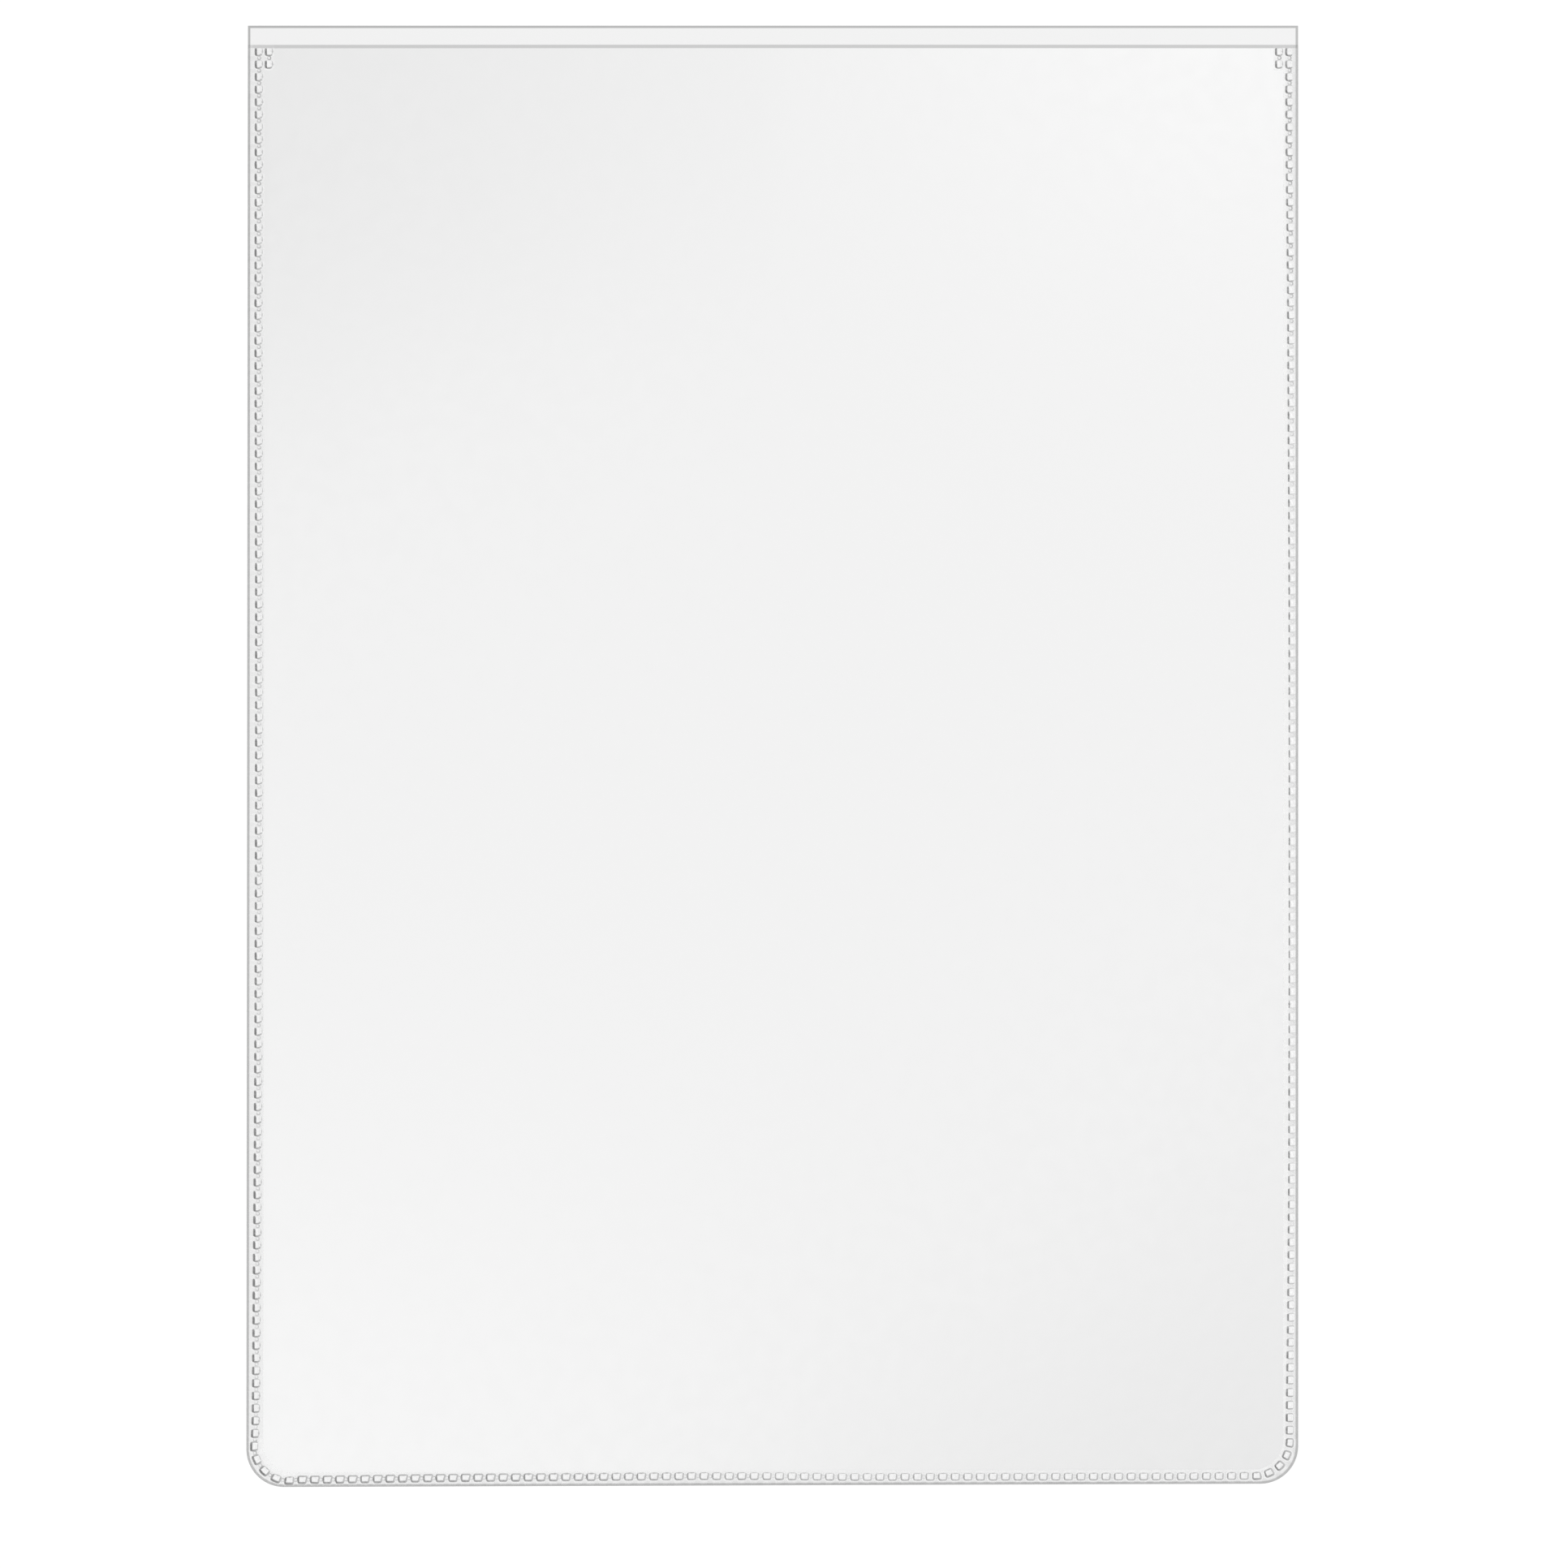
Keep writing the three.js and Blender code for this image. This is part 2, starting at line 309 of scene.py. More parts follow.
def rounded(du, dv, half_u, half_v, r):
    """Signed distance to a rounded rectangle."""
    qu, qv = np.abs(du) - half_u + r, np.abs(dv) - half_v + r
    return (
        np.hypot(np.maximum(qu, 0), np.maximum(qv, 0))
        + np.minimum(np.maximum(qu, qv), 0)
        - r
    )


LINK_HALF = 0.165    # half of the small link between two blocks
LINK_RISE = 0.03
BASE = 2 * FILM      # upper face of the fused border
CELL = [0.0, 0.15, 0.29, 0.35, 0.385, 0.42, 0.455, 0.49, 0.525, 0.56, 0.60]
ACROSS = [-0.50, -0.465, -0.435, -0.405, -0.37, -0.335, -0.30, -0.27, -0.24, -0.205, -0.165, -0.125, -0.075, -0.02,
          0.035, 0.085, 0.13, 0.17, 0.21, 0.25, 0.285, 0.32, 0.355, 0.39, 0.42, 0.455, 0.49]

# How the pattern was pressed and shaded, from one end of a run to the other. place is 0 to 1 along the run; outer,
# inner, start and end set how deep and wide the block's four walls came out and how dark each is painted, as painted
# shade: on the left and right runs darkest on the wall that faces away from the lamps at the lower left; link is the
# small link to the next block, with painted shade darkest towards (toward_s, toward_u); shift is how far the wheel
# wandered inwards; slant is how much the block's far end leans.
PRESS_AND_SHADE = {
    "left": [
        # place outer inner start  end  link to_s to_u shift slant lean
        (0.00, 1.00, 0.56, 0.30, 0.72, 0.72, 0.6, 0.4, 0.074, 0.22, 0.00),
        (0.06, 1.00, 0.56, 0.08, 0.62, 0.72, 0.6, 0.4, 0.078, 0.24, 0.00),
        (0.21, 1.00, 0.54, 0.06, 0.58, 0.66, 0.6, 0.4, 0.066, 0.26, 0.00),
        (0.30, 0.98, 0.46, 0.03, 0.56, 0.52, 0.6, 0.3, 0.120, 0.28, 0.00),
        (0.40, 0.98, 0.45, 0.03, 0.56, 0.44, 0.6, 0.3, 0.165, 0.28, 0.00),
        (0.55, 1.00, 0.45, 0.03, 0.58, 0.42, 0.6, 0.3, 0.179, 0.28, 0.00),
        (0.68, 1.04, 0.45, 0.05, 0.60, 0.44, 0.6, 0.3, 0.156, 0.26, 0.00),
        (0.80, 1.12, 0.48, 0.09, 0.68, 0.48, 0.5, 0.3, 0.093, 0.24, 0.00),
        (0.90, 1.12, 0.54, 0.16, 0.72, 0.48, 0.5, 0.3, -0.010, 0.20, 0.00),
        (0.96, 1.08, 0.56, 0.40, 0.76, 0.38, 0.4, 0.2, -0.065, 0.10, 0.00),
        (0.985, 1.05, 0.58, 0.50, 0.76, 0.34, 0.4, 0.1, -0.110, 0.08, 0.00),
        (1.00, 1.02, 0.58, 0.56, 0.76, 0.30, 0.3, 0.0, -0.200, 0.05, 0.00),
    ],
    "left_corner": [
        (0.00, 1.00, 0.40, 0.60, 0.75, 0.60, 0.2, 0.2, -0.20, 0.00, 0.00),
        (0.20, 1.00, 0.44, 0.66, 0.76, 0.58, 0.2, 0.2, -0.36, 0.00, 0.00),
        (0.50, 0.98, 0.48, 0.75, 0.78, 0.55, 0.2, 0.2, -0.39, 0.00, 0.00),
        (0.75, 0.95, 0.52, 0.85, 0.80, 0.52, 0.2, 0.2, -0.30, 0.00, 0.00),
        (1.00, 0.90, 0.56, 0.90, 0.85, 0.50, 0.2, 0.2, -0.09, 0.00, 0.00),
    ],
    "bottom": [
        (0.00, 0.80, 0.68, 0.80, 0.92, 0.50, 0.4, 0.1, -0.09, -0.30, 0.03),
        (0.04, 0.76, 0.66, 0.74, 0.92, 0.48, 0.4, 0.1, -0.075, -0.30, 0.03),
        (0.12, 0.76, 0.66, 0.74, 0.90, 0.46, 0.4, 0.1, 0.02, -0.30, 0.03),
        (0.17, 0.74, 0.64, 0.72, 0.90, 0.45, 0.4, 0.1, 0.06, -0.29, 0.03),
        (0.25, 0.72, 0.62, 0.70, 0.88, 0.44, 0.4, 0.1, 0.09, -0.28, 0.03),
        (0.42, 0.58, 0.48, 0.60, 0.80, 0.36, 0.5, 0.0, 0.16, -0.16, 0.02),
        (0.50, 0.62, 0.38, 0.46, 0.70, 0.30, 0.5, 0.0, 0.14, -0.10, 0.01),
        (0.58, 0.54, 0.38, 0.54, 0.68, 0.30, 0.3, 0.0, 0.02, -0.10, 0.01),
        (0.72, 0.54, 0.40, 0.56, 0.70, 0.28, 0.3, 0.0, 0.00, -0.10, 0.01),
        (0.92, 0.52, 0.48, 0.58, 0.72, 0.24, 0.1, 0.0, -0.04, -0.08, 0.00),
        (1.00, 0.52, 0.48, 0.58, 0.70, 0.16, 0.1, 0.0, 0.00, -0.05, 0.00),
    ],
    "right_corner": [
        (0.00, 0.68, 0.60, 0.68, 0.80, 0.10, 0.0, 0.0, 0.00, 0.00, 0.00),
        (0.50, 0.78, 0.70, 0.80, 0.84, 0.04, 0.0, 0.0, -0.10, 0.00, 0.00),
        (1.00, 0.56, 0.74, 0.72, 0.70, 0.00, 0.0, 0.0, -0.06, 0.00, 0.00),
    ],
    "right": [
        (0.00, 0.36, 0.80, 0.60, 0.52, 0.12, 0.0, 0.0, -0.06, 0.00, 0.00),
        (0.03, 0.22, 0.82, 0.50, 0.46, 0.14, 0.0, -0.2, -0.095, 0.00, 0.01),
        (0.09, 0.12, 0.78, 0.38, 0.36, 0.18, 0.0, -0.2, -0.212, 0.00, 0.03),
        (0.20, 0.06, 0.72, 0.24, 0.24, 0.22, 0.0, -0.3, -0.315, 0.00, 0.05),
        (0.32, 0.04, 0.63, 0.16, 0.12, 0.26, 0.0, -0.3, -0.348, 0.00, 0.08),
        (0.44, 0.03, 0.65, 0.14, 0.06, 0.28, 0.0, -0.3, -0.358, 0.00, 0.10),
        (0.62, 0.04, 0.70, 0.20, 0.04, 0.30, -0.1, -0.3, -0.338, 0.00, 0.10),
        (0.73, 0.06, 0.75, 0.30, 0.04, 0.36, -0.2, -0.4, -0.260, 0.00, 0.09),
        (0.82, 0.08, 0.78, 0.50, 0.08, 0.50, -0.2, -0.4, -0.200, 0.00, 0.08),
        (0.88, 0.10, 0.78, 0.66, 0.24, 0.66, -0.3, -0.7, -0.120, 0.00, 0.05),
        (0.92, 0.12, 0.78, 0.72, 0.34, 0.74, -0.3, -0.7, -0.045, 0.00, 0.04),
        (1.00, 0.12, 0.80, 0.74, 0.38, 0.74, -0.3, -0.7, 0.000, 0.00, 0.04),
    ],
    "tack_left": [
        (0.00, 0.98, 0.58, 0.16, 0.76, 0.74, 0.4, 0.5, 0.05, 0.12, 0.00),
        (1.00, 0.98, 0.58, 0.16, 0.76, 0.74, 0.4, 0.5, 0.05, 0.12, 0.00),
    ],
    "tack_right": [
        (0.00, 0.84, 0.56, 0.24, 0.70, 0.74, 0.4, 0.5, 0.02, 0.14, 0.00),
        (1.00, 0.84, 0.56, 0.24, 0.70, 0.74, 0.4, 0.5, 0.02, 0.14, 0.00),
    ],
}
# how grey the flange outside the chain is, along each run
FLANGE = {
    "left": ((0.0, 1.0), (0.25, 0.20)),
    "left_corner": ((0.0, 1.0), (0.25, 0.45)),
    "bottom": ((0.0, 0.25, 0.45, 0.72, 0.92, 1.0), (0.5, 0.7, 1.10, 1.10, 0.9, 0.6)),
    "right_corner": ((0.0, 1.0), (0.7, 0.5)),
    "right": ((0.0, 0.1, 0.6, 0.9, 1.0), (0.4, 0.2, 0.12, 0.5, 0.6)),
}
# how pale the painted light is along the border between the chain and the pocket
PAINTED_BORDER_LIGHT = {"left": 0.16, "left_corner": 0.60, "bottom": 0.34, "right_corner": 0.50, "right": 0.50}
# how round the blocks' corners came out, and how white their floors and the ring round them are painted, as painted
# light
ROUND = {
    "left": ((0.0, 1.0), (0.20, 0.17)),
    "left_corner": ((0.0, 1.0), (0.17, 0.17)),
    "bottom": ((0.0, 1.0), (0.17, 0.17)),
    "right_corner": ((0.0, 1.0), (0.17, 0.17)),
    "right": ((0.0, 0.15, 0.30, 0.70, 0.85, 1.0), (0.17, 0.22, 0.12, 0.12, 0.22, 0.25)),
}
PAINTED_PALE_LIGHT = {
    "left": ((0.0, 1.0), (0.64, 0.68)),
    "left_corner": ((0.0, 1.0), (0.80, 0.80)),
    "bottom": ((0.0, 0.4, 1.0), (0.76, 0.76, 0.80)),
    "right_corner": ((0.0, 1.0), (0.90, 0.90)),
    "right": ((0.0, 0.3, 0.7, 0.85, 1.0), (0.82, 0.80, 0.76, 0.76, 0.65)),
}
KEYS = ("outer", "inner", "start", "end", "link", "to_s", "to_u", "shift", "slant", "lean")


def pressed(kind, place):
    """The press, and the painted shade of its walls, at one place of a run."""
    table = PRESS_AND_SHADE[kind]
    at = [row[0] for row in table]
    return {key: float(np.interp(place, at, [row[i + 1] for row in table])) for i, key in enumerate(KEYS)}


def pattern(ds, u, deep, how):
    """Height, painted shade and painted light of the pressed film round one block: ds runs along the chain from the
    block's middle and u across it, inwards. Besides the height it gives how much of it is wall painted dark, as painted
    shade, and how much is pale floor or pale ring painted white, as painted light."""
    e = ds + how["lean"] * u
    if ds > 0:
        e = e + how["slant"] * np.clip(u + 0.1, 0, None)
    d = rounded(e, u, BLOCK_LENGTH / 2, BLOCK_WIDTH / 2, how.get("round", 0.17))
    side = smooth(0.5 + (np.abs(u) - BLOCK_WIDTH / 2 - np.abs(e) + BLOCK_LENGTH / 2) / 0.17)
    # a lightly pressed inner wall shows most in its middle, in its depth and in its painted shade
    inner = how["inner"] * np.where(how["inner"] < 0.6, 0.60 + 0.65 * np.exp(-((e / 0.20) ** 2)), 1.0)
    # painted shade: the walls across the chain and the two ends each get their own darkness from the table
    across = np.where(u < 0, how["outer"], inner)
    along = np.where(e < 0, how["start"], how["end"])
    weight = along + (across - along) * side
    # a deep wall is a wide one too
    half = 0.050 + (0.060 * smooth((weight - 0.45) / 0.40) + 0.15 * np.clip(weight - 1.0, 0, 0.2)) * (0.45 + 0.55 * side)
    down = smooth(0.5 - d / (2 * half + 0.03))
    z = BASE - PRESS_DEPTH * deep * down * (0.55 + 0.45 * smooth(weight / 0.5))
    # the film that the wheel pushed aside stands up round the block
    z = z + 0.010 * np.exp(-(((d - half - 0.055) / 0.04) ** 2))
    # the tooth's face is a little hollow, which leaves a low pad in the block's floor
    pad = rounded(e, u, BLOCK_LENGTH / 2 - 0.22, BLOCK_WIDTH / 2 - 0.20, 0.05)
    z = z + 0.012 * smooth(0.5 - pad / 0.08)
    # painted shade: how dark the wall is painted, from its weight
    wall = weight * np.clip((half - np.abs(d)) / 0.035 + 0.5, 0, 1)
    # the link is a small stud that the tooth beside it left standing
    gs = ds - math.copysign(PITCH / 2, ds)
    ring = rounded(gs, u, LINK_HALF, LINK_HALF, 0.13)
    z = z + LINK_RISE * how["link"] * smooth(0.5 - ring / 0.10) * (1 - down)
    # painted shade round the link, darkest on the side towards (to_s, to_u)
    r = np.hypot(gs, u) + 1e-6
    turn = 0.80 + 0.50 * (gs * how["to_s"] + u * how["to_u"]) / r
    wall = np.maximum(
        wall,
        how["link"] * np.clip(turn, 0, 1) * np.clip((0.050 - np.abs(ring)) / 0.05 + 0.5, 0, 1) * (1 - 0.6 * down),
    )
    # painted light: the block's floor and a ring round it are whitened
    painted_floor_light = smooth(0.5 - (d + half + 0.01) / 0.05) * (1 - 0.35 * np.exp(-((pad / 0.05) ** 2)))
    painted_rim_light = np.exp(-(((d - half - 0.075) / 0.05) ** 2)) * smooth(weight / 0.5)
    return z, wall, np.clip(0.95 * painted_floor_light + 0.8 * painted_rim_light, 0, 1)


def strip(name, kind, s_list, blocks, mouth_at=None):
    """One run of the fused border as a closed solid: a pressed top, a plain underside and the two long sides."""
    s_list = np.array(sorted(set(np.round(s_list, 5))))
    n = len(s_list)
    centre = np.array([chain_at(s) for s in s_list])
    ang = centre[:, 2]
    nx, ny = np.sin(ang), -np.cos(ang)  # outward
    room = np.array([outward_room(x, y, a, b) for x, y, a, b in zip(centre[:, 0], centre[:, 1], nx, ny)])
    blocks = np.array(blocks)
    near = blocks[np.abs(s_list[:, None] - blocks[None, :]).argmin(1)]
    which = np.round(near / PITCH).astype(int)
    verts, wall, pale, flange, edge, join = [], [], [], [], [], []
    # the top, row by row: the rolled outer edge, the flange, the chain, the inner end
    rolled = np.array([0.0, 0.035, 0.10])
    base = np.array(ACROSS)
    for i in range(n):
        k = which[i] % len(DEEP)
        place = (s_list[i] - s_list[0]) / (s_list[-1] - s_list[0])
        how = pressed(kind, place)
        flange_tone = float(np.interp(place, *FLANGE[kind]))
        how["round"] = float(np.interp(place, *ROUND[kind]))
        how["outer"] *= UNEVEN[k][0]
        how["inner"] *= UNEVEN[k][1]
        how["link"] *= UNEVEN[k][2]
        shift = how["shift"]
        space = room[i] + base[0] + shift
        u = np.concatenate([-room[i] + rolled * min(1.0, 8.5 * space), base + shift, [SEAM_INSIDE]])
        z, w, p = pattern(s_list[i] - near[i], u - shift, DEEP[k], how)
        z[0] -= 0.05
        w[:2] = 0.0
        at_mouth = 0.0
        if mouth_at is not None:
            m = abs(s_list[i] - mouth_at)
            at_mouth = float(m < MOUTH_LINE + 0.01)
            if m < 0.03:
                z = z - 0.05
        x = centre[i, 0] - nx[i] * u
        y = centre[i, 1] - ny[i] * u
        # u grows inwards, so the outward normal is taken off
        verts += np.stack([x, y, z], 1).tolist()
        # painted shade on the walls, none at the mouth
        wall += (w * (1 - at_mouth)).tolist()
        # painted light: the pocket's border is painted a little paler than the film on either side
        painted_rim_light = PAINTED_BORDER_LIGHT[kind] * smooth((u - shift - 0.43) / 0.06)
        pale += np.maximum(p * float(np.interp(place, *PAINTED_PALE_LIGHT[kind])), painted_rim_light).tolist()
        band = flange_tone * smooth((-u + shift - 0.38) / (0.4 * (room[i] + shift - 0.40)))
        band[:2] *= 0.4
        flange += band.tolist()
        # the grey line along the cut edge is painted shade, darker on the left
        painted_cut_line = 0.5 * painted_cut_shade(centre[i, 0], centre[i, 1])
        edge += [painted_cut_line] * 2 + [0.4 * at_mouth] + [at_mouth] * (len(u) - 3)
        # faces that lie on another run, or on the free film, are inside the same piece of plastic
        ends = i == 0 or i == n - 1
        cut = mouth_at is not None and abs(s_list[i] - mouth_at) < 1e-4
        join += [float(ends and not cut)] * (len(u) - 1) + [1.0]
    c = len(base) + 4
    faces = []
    for i in range(n - 1):
        for j in range(c - 1):
            a = i * c + j
            faces.append([a, a + 1, a + c + 1, a + c])
    # the underside has the same outline
    at = len(verts)
    low = FILM + 0.006
    for i in range(n):
        for j in (0, c - 1):
            v = verts[i * c + j]
            verts.append([v[0], v[1], low])
            for values in (wall, pale, flange, edge):
                values.append(0.0)
            join.append(join[i * c + j])
    for i in range(n - 1):
        a, b = at + 2 * i, at + 2 * i + 1
        faces.append([a, a + 2, b + 2, b])
        faces.append([i * c, (i + 1) * c, a + 2, a])
        faces.append([i * c + c - 1, b, b + 2, (i + 1) * c + c - 1])
    # the two ends
    first = [j for j in range(c)]
    faces.append(first[::-1] + [at, at + 1])
    last = [(n - 1) * c + j for j in range(c)]
    e = at + 2 * (n - 1)
    faces.append(last + [e + 1, e])
    obj = make_object(
        name, verts, faces, {"wall": wall, "pale": pale, "flange": flange, "edge": edge, "join": join}
    )
    orient(obj)
    crisp(obj)
    return obj


def orient(obj):
    """Turns every face outwards."""
    import bmesh

    bm = bmesh.new()
    bm.from_mesh(obj.data)
    bmesh.ops.recalc_face_normals(bm, faces=bm.faces)
    volume = bm.calc_volume(signed=True)
    if volume < 0:
        bmesh.ops.reverse_faces(bm, faces=bm.faces)
    bm.to_mesh(obj.data)
    bm.free()


DEEP = 1.0 + rng.uniform(-0.12, 0.10, 400)
UNEVEN = 1.0 + rng.uniform(-0.06, 0.03, (400, 3))
UNEVEN[:, 2] += rng.uniform(-0.18, 0.12, 400)


def cell_lines(s_block, lo, hi):
    out = [s_block + k * v for v in CELL for k in (-1, 1)] + [s_block - PITCH / 2, s_block + PITCH / 2]
    return [v for v in out if lo - 1e-6 <= v <= hi + 1e-6]


def run_strip(name, kind, first, last, lo=None, hi=None, mouth_at=None):
    lo = first * PITCH - PITCH / 2 if lo is None else lo
    hi = last * PITCH + PITCH / 2 if hi is None else hi
    lines = [lo, hi]
    for i in range(first, last + 1):
        lines += cell_lines(i * PITCH, lo, hi)
    if mouth_at is not None:
        k = 1 if mouth_at == lo else -1
        lines += [mouth_at + k * v for v in (0.04, 0.2, MOUTH_LINE, MOUTH_LINE + 0.03)]
    return strip(name, kind, lines, [i * PITCH for i in range(first, last + 1)], mouth_at)


def between(s):
    return math.floor(s / PITCH - 0.5)


LAST_LEFT = between(RUN_SIDE)
FIRST_BOTTOM = math.ceil((RUN_SIDE + RUN_TURN) / PITCH + 0.5)
LAST_BOTTOM = between(RUN_SIDE + RUN_TURN + RUN_BOTTOM)
FIRST_RIGHT = math.ceil((RUN_SIDE + 2 * RUN_TURN + RUN_BOTTOM) / PITCH + 0.5)


def tack(name, side):
    """The doubled weld beside the seam at one mouth corner: side is -1 on the left, +1 on the right."""
    edge_x = INNER_LEFT if side < 0 else INNER_RIGHT
    middle = (SEAM_LEFT + TACK_INSIDE) if side < 0 else (SEAM_RIGHT - TACK_INSIDE)
    bottom = FIRST_BLOCK_Y - PITCH - 0.41 - TACK_PAD_MARGIN
    s_low = FIRST_BLOCK_Y - bottom
    top = -FIRST_BLOCK_BELOW_MOUTH
    lines = [top + v for v in (0.0, 0.04, 0.2, MOUTH_LINE, MOUTH_LINE + 0.03)] + [s_low]
    for i in range(2):
        lines += cell_lines(i * PITCH, -FIRST_BLOCK_BELOW_MOUTH, s_low)
    lines = np.array(sorted(set(np.round(lines, 5))))
    # across runs from left to right on both tacks, as the same wheel pressed them
    lo = edge_x - middle if side < 0 else edge_x - TACK_PAD_WIDTH - middle
    us = np.array([lo] + [u for u in ACROSS if lo + 0.015 < u < lo + TACK_PAD_WIDTH - 0.015] + [lo + TACK_PAD_WIDTH])
    verts, wall, pale, flange, edge, join = [], [], [], [], [], []
    for k, s in enumerate(lines):
        i = 0 if s < PITCH / 2 else 1
        how = pressed("tack_left" if side < 0 else "tack_right", 0.0)
        how["round"] = 0.22
        # one link, between the two blocks
        how["link"] *= float(0 < s < PITCH)
        # across runs to the right here, and inwards is to the left on the right-hand side
        z, w, p = pattern(s - i * PITCH, us - how["shift"], DEEP[7 * i + 3], how)
        if s < top + 0.03:
            z = z - 0.05
        at_mouth = float(s < top + MOUTH_LINE + 0.01)
        edge += [at_mouth] * len(us)
        verts += np.stack([middle + us, np.full_like(us, FIRST_BLOCK_Y - s), z], 1).tolist()
        # painted shade on the walls and painted light on the pale floors
        wall += (w * (1 - at_mouth)).tolist()
        pale += (0.7 * p).tolist()
        flange += [0.0] * len(us)
        join += [1.0] + [float(k == len(lines) - 1)] * (len(us) - 2) + [1.0]
    n, c = len(lines), len(us)
    faces = [[i * c + j, i * c + j + 1, (i + 1) * c + j + 1, (i + 1) * c + j] for i in range(n - 1) for j in range(c - 1)]
    at = len(verts)
    ring = (
        [j for j in range(c)]
        + [i * c + c - 1 for i in range(1, n)]
        + [(n - 1) * c + j for j in range(c - 2, -1, -1)]
        + [i * c for i in range(n - 2, 0, -1)]
    )
    for r in ring:
        verts.append([verts[r][0], verts[r][1], FILM + 0.006])
        join.append(join[r])
    for values in (wall, pale, flange, edge):
        values += [0.0] * len(ring)
    m = len(ring)
    faces += [[ring[k], ring[(k + 1) % m], at + (k + 1) % m, at + k] for k in range(m)]
    faces.append([at + k for k in range(m)])
    obj = make_object(
        name, verts, faces, {"wall": wall, "pale": pale, "flange": flange, "edge": edge, "join": join}
    )
    orient(obj)
    crisp(obj)
    return obj


# ---- the front ply ---------------------------------------------------------------------------------

BOW = 0.3            # how far the free front ply stands up at the mouth, lying empty
LOW_MID = 1.5 * FILM + 0.006  # its middle surface where it runs into the weld


def front_film():
    """The front ply inside the welds: one surface, which the Solidify modifier gives its thickness.
    Its rest height says how free it is, from the weld, where it is held, to the middle of the mouth."""
    tack_low = FIRST_BLOCK_Y - PITCH - 0.41 - TACK_PAD_MARGIN
    left_in, right_in = INNER_LEFT + TACK_PAD_WIDTH, INNER_RIGHT - TACK_PAD_WIDTH
    corner_l = arc(TURN_LEFT_X, TURN_Y, INNER_TURN, 180, 270, 14)
    corner_r = arc(TURN_RIGHT_X, TURN_Y, INNER_TURN, 270, 360, 14)
    rest = np.array(
        [
            [INNER_RIGHT, tack_low],
            [right_in, tack_low],
            [right_in, MOUTH_Y - MOUTH_LINE - 0.03],
            [right_in, MOUTH_Y - MOUTH_LINE],
            [right_in, MOUTH_Y - 0.04],
            [right_in, MOUTH_Y],
            [left_in, MOUTH_Y],
            [left_in, MOUTH_Y - 0.04],
            [left_in, MOUTH_Y - MOUTH_LINE],
            [left_in, MOUTH_Y - MOUTH_LINE - 0.03],
            [left_in, tack_low],
            [INNER_LEFT, tack_low],
        ]
    )
    loop = refine(np.vstack([corner_l, corner_r, rest]), 2.0)
    xs = np.linspace(left_in, right_in, round((right_in - left_in) / 2.0) + 1)
    lines = [
        [(x, MOUTH_Y - inset) for x in xs] for inset in (MOUTH_LINE + 0.03, MOUTH_LINE, 0.04)
    ]
    gx = np.linspace(INNER_LEFT, INNER_RIGHT, 55)[1:-1]
    gy = np.linspace(INNER_BOTTOM, MOUTH_Y, 76)[1:-1]
    grid = []
    for x in gx:
        for y in gy:
            if y > MOUTH_Y - 1.4:
                continue
            if y > tack_low - 0.8 and (x < left_in + 0.8 or x > right_in - 0.8):
                continue
            dx = min(x - INNER_LEFT, INNER_RIGHT - x)
            dy = y - INNER_BOTTOM
            if dx < 0.9 or dy < 0.9:
                continue
            cx = TURN_LEFT_X if x < 0 else TURN_RIGHT_X
            if y < TURN_Y and abs(x) > abs(cx):
                if math.hypot(x - cx, y - TURN_Y) > INNER_TURN - 0.8:
                    continue
            grid.append((x, y))
    flat, tris = fill(loop, grid, lines)
    x, y = flat[:, 0], flat[:, 1]
    # distance from the side welds and the tacks beside them
    def round_min(a, b):
        a, b = np.maximum(a, 0), np.maximum(b, 0)
        return a * b / (np.hypot(a, b) + 1e-9)

    below = np.maximum(tack_low - y, 0)
    dx = np.minimum(
        round_min(x - INNER_LEFT, np.hypot(np.maximum(x - left_in, 0), below)),
        round_min(INNER_RIGHT - x, np.hypot(np.maximum(right_in - x, 0), below)),
    )
    half = (INNER_RIGHT - INNER_LEFT) / 2 - TACK_PAD_WIDTH
    # the bow: an arch between the side welds that grows from the bottom weld towards the mouth
    across = np.sin(math.pi / 2 * np.clip(dx / half, 0, 1))
    up = np.sin(math.pi / 2 * np.clip((y - INNER_BOTTOM) / 70.0, 0, 1))
    in_turn = np.ones_like(x)
    for cx, sign in ((TURN_LEFT_X, -1), (TURN_RIGHT_X, 1)):
        at = (y < TURN_Y) & (sign * (x - cx) > 0)
        r = np.hypot(x - cx, y - TURN_Y)
        in_turn = np.where(at, np.clip((INNER_TURN - r) / INNER_TURN, 0, 1), in_turn)
    rise = across * up * in_turn
    # and the long low waves of film that was rolled up once
    wave = np.sin(x / 9.5 + 0.7 * np.sin(y / 21.0) + 0.4) * np.sin(y / 17.0 + 0.9)
    rise = np.clip(rise + 0.02 * wave * smooth(rise / 0.35) * smooth((1.02 - rise) / 0.2), 0, 1)
    z = LOW_MID + BOW * rise
    edge = (y > MOUTH_Y - MOUTH_LINE - 0.005).astype(float)
    # the edge that runs into the welds, where the thickness shows no face of its own
    held = (
        (dx < 1e-4)
        | (y < INNER_BOTTOM + 1e-4)
        | ((y < TURN_Y) & (x < TURN_LEFT_X) & (np.hypot(x - TURN_LEFT_X, y - TURN_Y) > INNER_TURN - 1e-3))
        | ((y < TURN_Y) & (x > TURN_RIGHT_X) & (np.hypot(x - TURN_RIGHT_X, y - TURN_Y) > INNER_TURN - 1e-3))
        | ((y > tack_low - 1e-4) & ((x < left_in + 1e-4) | (x > right_in - 1e-4)))
    )
    join = (held & (y < MOUTH_Y - 1e-4)).astype(float)
    points = np.column_stack([flat, z])
